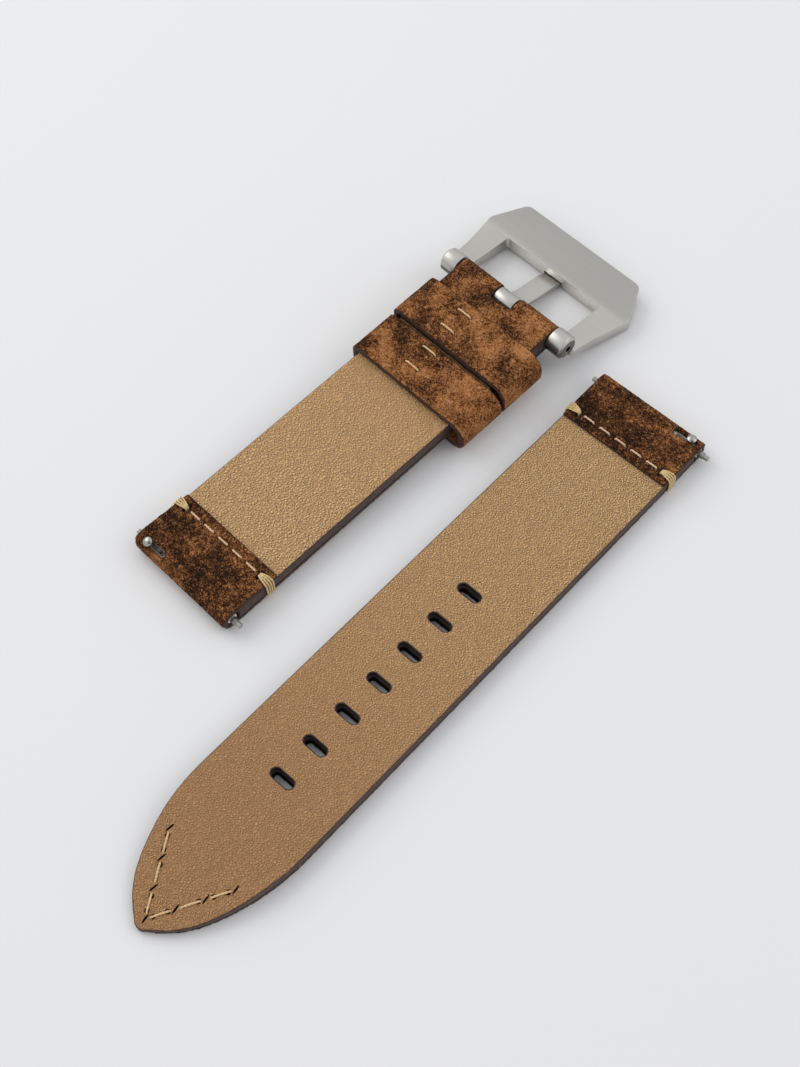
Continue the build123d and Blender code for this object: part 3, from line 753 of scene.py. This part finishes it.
def cut_slits(lining):
    """Cuts the slanted awl slits between the stitches of the tip row, their walls near black as painted shade."""
    dark = Shop("cut_slit_painted_shade")
    # Near black: painted shade inside the narrow slits.
    dark.surface(colour=(0.012, 0.008, 0.006, 1), roughness=0.8)
    cutters = []
    for side in (-1, 1):
        start, direction, pitch = tip_row(side)
        for index in range(4):
            spot = start + direction * (pitch * (index - 0.25))
            if index == 3 and side == 1:
                continue
            if index == 3:
                spot.x = 0.0
            only(lining)
            bpy.ops.mesh.primitive_cylinder_add(vertices=10, radius=1.0, depth=1.0)
            cutter = bpy.context.object
            top = tip_top(spot.y)
            shape = Matrix.Translation((spot.x * MM, spot.y * MM, top * MM)) @ Matrix.Rotation(side * -0.12, 4, "Z")
            cutter.data.transform(PLACES["tail"] @ shape @ Matrix.Diagonal((0.17 * MM, 0.86 * MM, 1.3 * MM, 1)))
            cutter.data.materials.append(dark.material)
            cutters.append(cutter)
    for cutter in cutters:
        modify(lining, "BOOLEAN", object=cutter, operation="DIFFERENCE", solver="EXACT", material_mode="TRANSFER")
        bpy.data.objects.remove(cutter)


class STRAP_OT_stitching(bpy.types.Operator):
    """Sews the lug rows, their side tacks and the tail's tip"""

    bl_idname = "strap.stitching"
    bl_label = "Stitching"

    def execute(self, context):
        colours = context.scene.strap_colours
        row_thread = thread_material("row_thread", tuple(colours.row_thread))
        tack_thread = thread_material("tack_thread", tuple(colours.tack_thread))
        staple_thread = thread_material("staple_thread", (0.80, 0.56, 0.30))
        for half, body in BODIES.items():
            row = thread_piece(half + "_lug_thread", [lug_row_path(half)], row_thread)
            settle(row, body, "thread", half + "_lug_stitching")
            for side, word in ((1, "right"), (-1, "left")):
                name = half + "_" + word + "_tack"
                tack = thread_piece(name + "_thread", tack_paths(half, side), tack_thread, closed=True)
                settle(tack, body, "thread", name)
        tip = thread_piece("tail_tip_thread", tip_paths(), staple_thread)
        settle(tip, "tail_half", "thread", "tail_tip_stitching")
        places = {
            "free_keeper": ("free_keeper", 4.45, ((-1.55, 55.55), (-1.55, 59.85))),
            "fixed_keeper": ("buckle_half", 5.27, ((-2.2, 65.0), (-2.2, 69.3))),
        }
        for name, (body, top, spots) in places.items():
            paths = []
            for x, y in spots:
                shape = ((-1.45, -0.75), (-1.42, 0.0), (-0.9, 0.20), (0.9, 0.20), (1.42, 0.0), (1.45, -0.75))
                paths.append([at("buckle_half", x + dx, y, top + dz) for dx, dz in shape])
            staples = thread_piece(name + "_thread", paths, staple_thread)
            settle(staples, body, "thread", name + "_stitches")
        return {"FINISHED"}


# Steel

class STRAP_OT_steel(bpy.types.Operator):
    """Finishes the buckle, tongue and quick-release bars"""

    bl_idname = "strap.steel"
    bl_label = "Steel"

    def execute(self, context):
        bevel = context.scene.strap_sizes.steel_bevel
        casting = brushed_material("brushed_casting", (0.12, 7, 7), 1.0, 0.38)
        blade = brushed_material("brushed_tongue", (9, 0.12, 9), 1.0, 0.32)
        # Polished bevels and ear faces, brightened to tone 1.45: polished finish with a painted highlight.
        polished_painted_highlight = polished_material("polished_bevels_painted_highlight", 1.45, 0.14)
        # The window's inner walls, lightened to tone 1.8 and partly non-metallic: painted reflection of the floor.
        painted_reflection_wall = polished_material("painted_reflection_walls", 1.8, 0.20, 0.7)
        # Steel darkened to tone 0.30: painted dark reflection on the ears' undersides and the window's sloped faces,
        # painted shade in the ear holes and on the plungers.
        painted_dark_reflection_and_shade = polished_material("dark_steel_painted_reflection_and_shade", 0.30, 0.12)
        for node, body, material, width in (
            ("buckle_frame", "buckle", casting, bevel),
            ("buckle_tongue", "tongue", blade, bevel * 0.7),
        ):
            made = copy_of(node, node + "_steel")
            made.data.materials.append(material)
            for finish in (polished_painted_highlight, painted_reflection_wall, painted_dark_reflection_and_shade):
                made.data.materials.append(finish)
            modify(made, "DECIMATE", decimate_type="DISSOLVE", angle_limit=math.radians(1.0))
            modify(
                made, "BEVEL", width=width * MM, segments=2, limit_method="ANGLE",
                angle_limit=math.radians(35), material=1, harden_normals=False,
            )
            inverse = PLACES["buckle_half"].inverted()
            turn = inverse.to_3x3()
            for face in made.data.polygons:
                spot, normal = inverse @ face.center / MM, turn @ face.normal
                if node != "buckle_frame":
                    continue
                reach = math.hypot(spot.y - BUCKLE_BAR[1], spot.z - BUCKLE_BAR[2])
                inside = abs(spot.x) < WINDOW_HALF_WIDTH and WINDOW_FROM < spot.y < WINDOW_TO
                ear_painted_dark_reflection = reach < EAR_RADIUS and normal.y < -0.2 and normal.z < 0.15
                # Ear holes, ear undersides and the window's sloped faces take the darkened steel: painted shade and
                # painted dark reflection.
                if reach < EAR_HOLE or ear_painted_dark_reflection or inside and 0.3 < normal.z < 0.95:
                    face.material_index = 3
                # The ears' outer faces take the polished steel with its painted highlight.
                elif abs(spot.x) > EAR_INNER and abs(normal.x) > 0.8:
                    face.material_index = 1
                # The window's inner walls take the lightened steel: painted reflection.
                elif inside and abs(normal.z) < 0.5:
                    face.material_index = 2
            shade(made, 30)
            settle(made, body, "brushed_steel", node)
        # Bar tubes lightened to tone 2.1 and partly non-metallic: painted light on the tubes in their shaded slots.
        tube = polished_material("tube_steel_painted_light", 2.1, 0.25, 0.35)
        # Pins and bar tips darkened to tone 0.85 and release knobs to 0.9: painted shade.
        turned = polished_material("turned_steel_painted_shade", 0.85, 0.30)
        bright = polished_material("knob_steel_painted_shade", 0.9, 0.2)
        for node, thing in NODES.items():
            if node.endswith("_release_knob"):
                finish = bright
            # The plungers deep in the ear holes take the darkened steel as painted shade.
            elif node.startswith("buckle_bar_plunger"):
                finish = painted_dark_reflection_and_shade
            elif node.endswith("_bar_tube"):
                finish = tube
            elif "_bar_" in node:
                finish = turned
            else:
                continue
            thing.data.materials.clear()
            thing.data.materials.append(finish)
        return {"FINISHED"}


# Stage

class STRAP_OT_stage(bpy.types.Operator):
    """Sets the floor, the light and the camera"""

    bl_idname = "strap.stage"
    bl_label = "Stage"

    def execute(self, context):
        bpy.ops.mesh.primitive_plane_add(size=4.0, location=(0, 0, -0.08 * MM))
        floor = context.object
        floor.name = "floor"
        shop = Shop("pale_floor")
        floor.data.materials.append(shop.surface(colour=(0.825, 0.825, 0.828, 1), roughness=0.9, specular=0.1))

        world = bpy.data.worlds.new("soft_room")
        context.scene.world = world
        world.use_nodes = True
        tree = world.node_tree
        ground = tree.nodes["Background"]
        ground.inputs["Strength"].default_value = 0.88
        look = tree.nodes.new("ShaderNodeTexCoord")
        toward = tree.nodes.new("ShaderNodeVectorMath")
        toward.operation = "DOT_PRODUCT"
        toward.inputs[1].default_value = (0.3495, -0.3570, 0.8663)
        spot = tree.nodes.new("ShaderNodeValToRGB")
        stops = ((0.0, (0.97, 0.98, 1.0, 1)), (0.90, (0.97, 0.98, 1.0, 1)), (0.965, (0.12, 0.12, 0.12, 1)))
        while len(spot.color_ramp.elements) < len(stops):
            spot.color_ramp.elements.new(0.5)
        for element, (place, colour) in zip(spot.color_ramp.elements, stops):
            element.position = place
            element.color = colour
        tree.links.new(look.outputs["Generated"], toward.inputs[0])
        tree.links.new(toward.outputs["Value"], spot.inputs[0])
        parts = tree.nodes.new("ShaderNodeSeparateXYZ")
        low = tree.nodes.new("ShaderNodeMapRange")
        for key, value in (("From Min", 0.0), ("From Max", 0.34), ("To Min", 0.52), ("To Max", 1.0)):
            low.inputs[key].default_value = value
        shade = tree.nodes.new("ShaderNodeVectorMath")
        shade.operation = "SCALE"
        tree.links.new(look.outputs["Generated"], parts.inputs[0])
        tree.links.new(parts.outputs["Z"], low.inputs["Value"])
        tree.links.new(spot.outputs["Color"], shade.inputs[0])
        tree.links.new(low.outputs["Result"], shade.inputs["Scale"])
        tree.links.new(shade.outputs["Vector"], ground.inputs["Color"])

        for name, place, size, power, colour in (
            ("window_light", (-0.62, -0.08, 0.50), 0.60, 2.0, (1.0, 0.99, 0.97)),
            ("fill_light", (0.45, 0.45, 0.55), 0.50, 0.6, (0.97, 0.98, 1.0)),
        ):
            bpy.ops.object.light_add(type="AREA", location=place)
            lamp = context.object
            lamp.name = name
            lamp.data.shape = "SQUARE"
            lamp.data.size = size
            lamp.data.energy = power
            lamp.data.color = colour
            lamp.rotation_euler = (-Vector(place)).to_track_quat("-Z", "Y").to_euler()

        start = PLACES["buckle_half"].to_translation()
        eye = start + Vector((108.69, -59.82, 225.25)) * MM
        right = Vector((0.7096, 0.7046, 0.0040)).normalized()
        forward = Vector((-0.3495, 0.3570, -0.8663))
        forward = (forward - right * forward.dot(right)).normalized()
        up = right.cross(forward)
        turn = Matrix((right, up, -forward)).transposed()
        bpy.ops.object.camera_add(location=eye, rotation=turn.to_euler())
        camera = context.object
        camera.data.lens = 52.63
        camera.data.sensor_width = 36.0
        camera.data.clip_start = 0.01
        camera.data.clip_end = 20.0
        context.scene.camera = camera
        context.scene.view_settings.view_transform = "Standard"
        return {"FINISHED"}


class STRAP_PT_panel(bpy.types.Panel):
    """Strap settings and steps"""

    bl_label = "Strap"
    bl_idname = "STRAP_PT_panel"
    bl_space_type = "VIEW_3D"
    bl_region_type = "UI"
    bl_category = "Strap"

    def draw(self, context):
        layout = self.layout
        for group in (context.scene.strap_sizes, context.scene.strap_colours):
            for key in group.__annotations__:
                layout.prop(group, key)
        for step in STEPS:
            layout.operator(step.bl_idname)


STEPS = (STRAP_OT_leather, STRAP_OT_keepers, STRAP_OT_stitching, STRAP_OT_steel, STRAP_OT_stage)
CLASSES = (StrapSizes, StrapColours, *STEPS, STRAP_PT_panel)


def register():
    for made in CLASSES:
        bpy.utils.register_class(made)
    bpy.types.Scene.strap_sizes = bpy.props.PointerProperty(type=StrapSizes)
    bpy.types.Scene.strap_colours = bpy.props.PointerProperty(type=StrapColours)


def unregister():
    del bpy.types.Scene.strap_colours
    del bpy.types.Scene.strap_sizes
    for made in reversed(CLASSES):
        bpy.utils.unregister_class(made)


def main():
    register()
    bpy.ops.strap.leather()
    bpy.ops.strap.keepers()
    bpy.ops.strap.stitching()
    bpy.ops.strap.steel()
    bpy.ops.strap.stage()


if __name__ == "__main__":
    main()
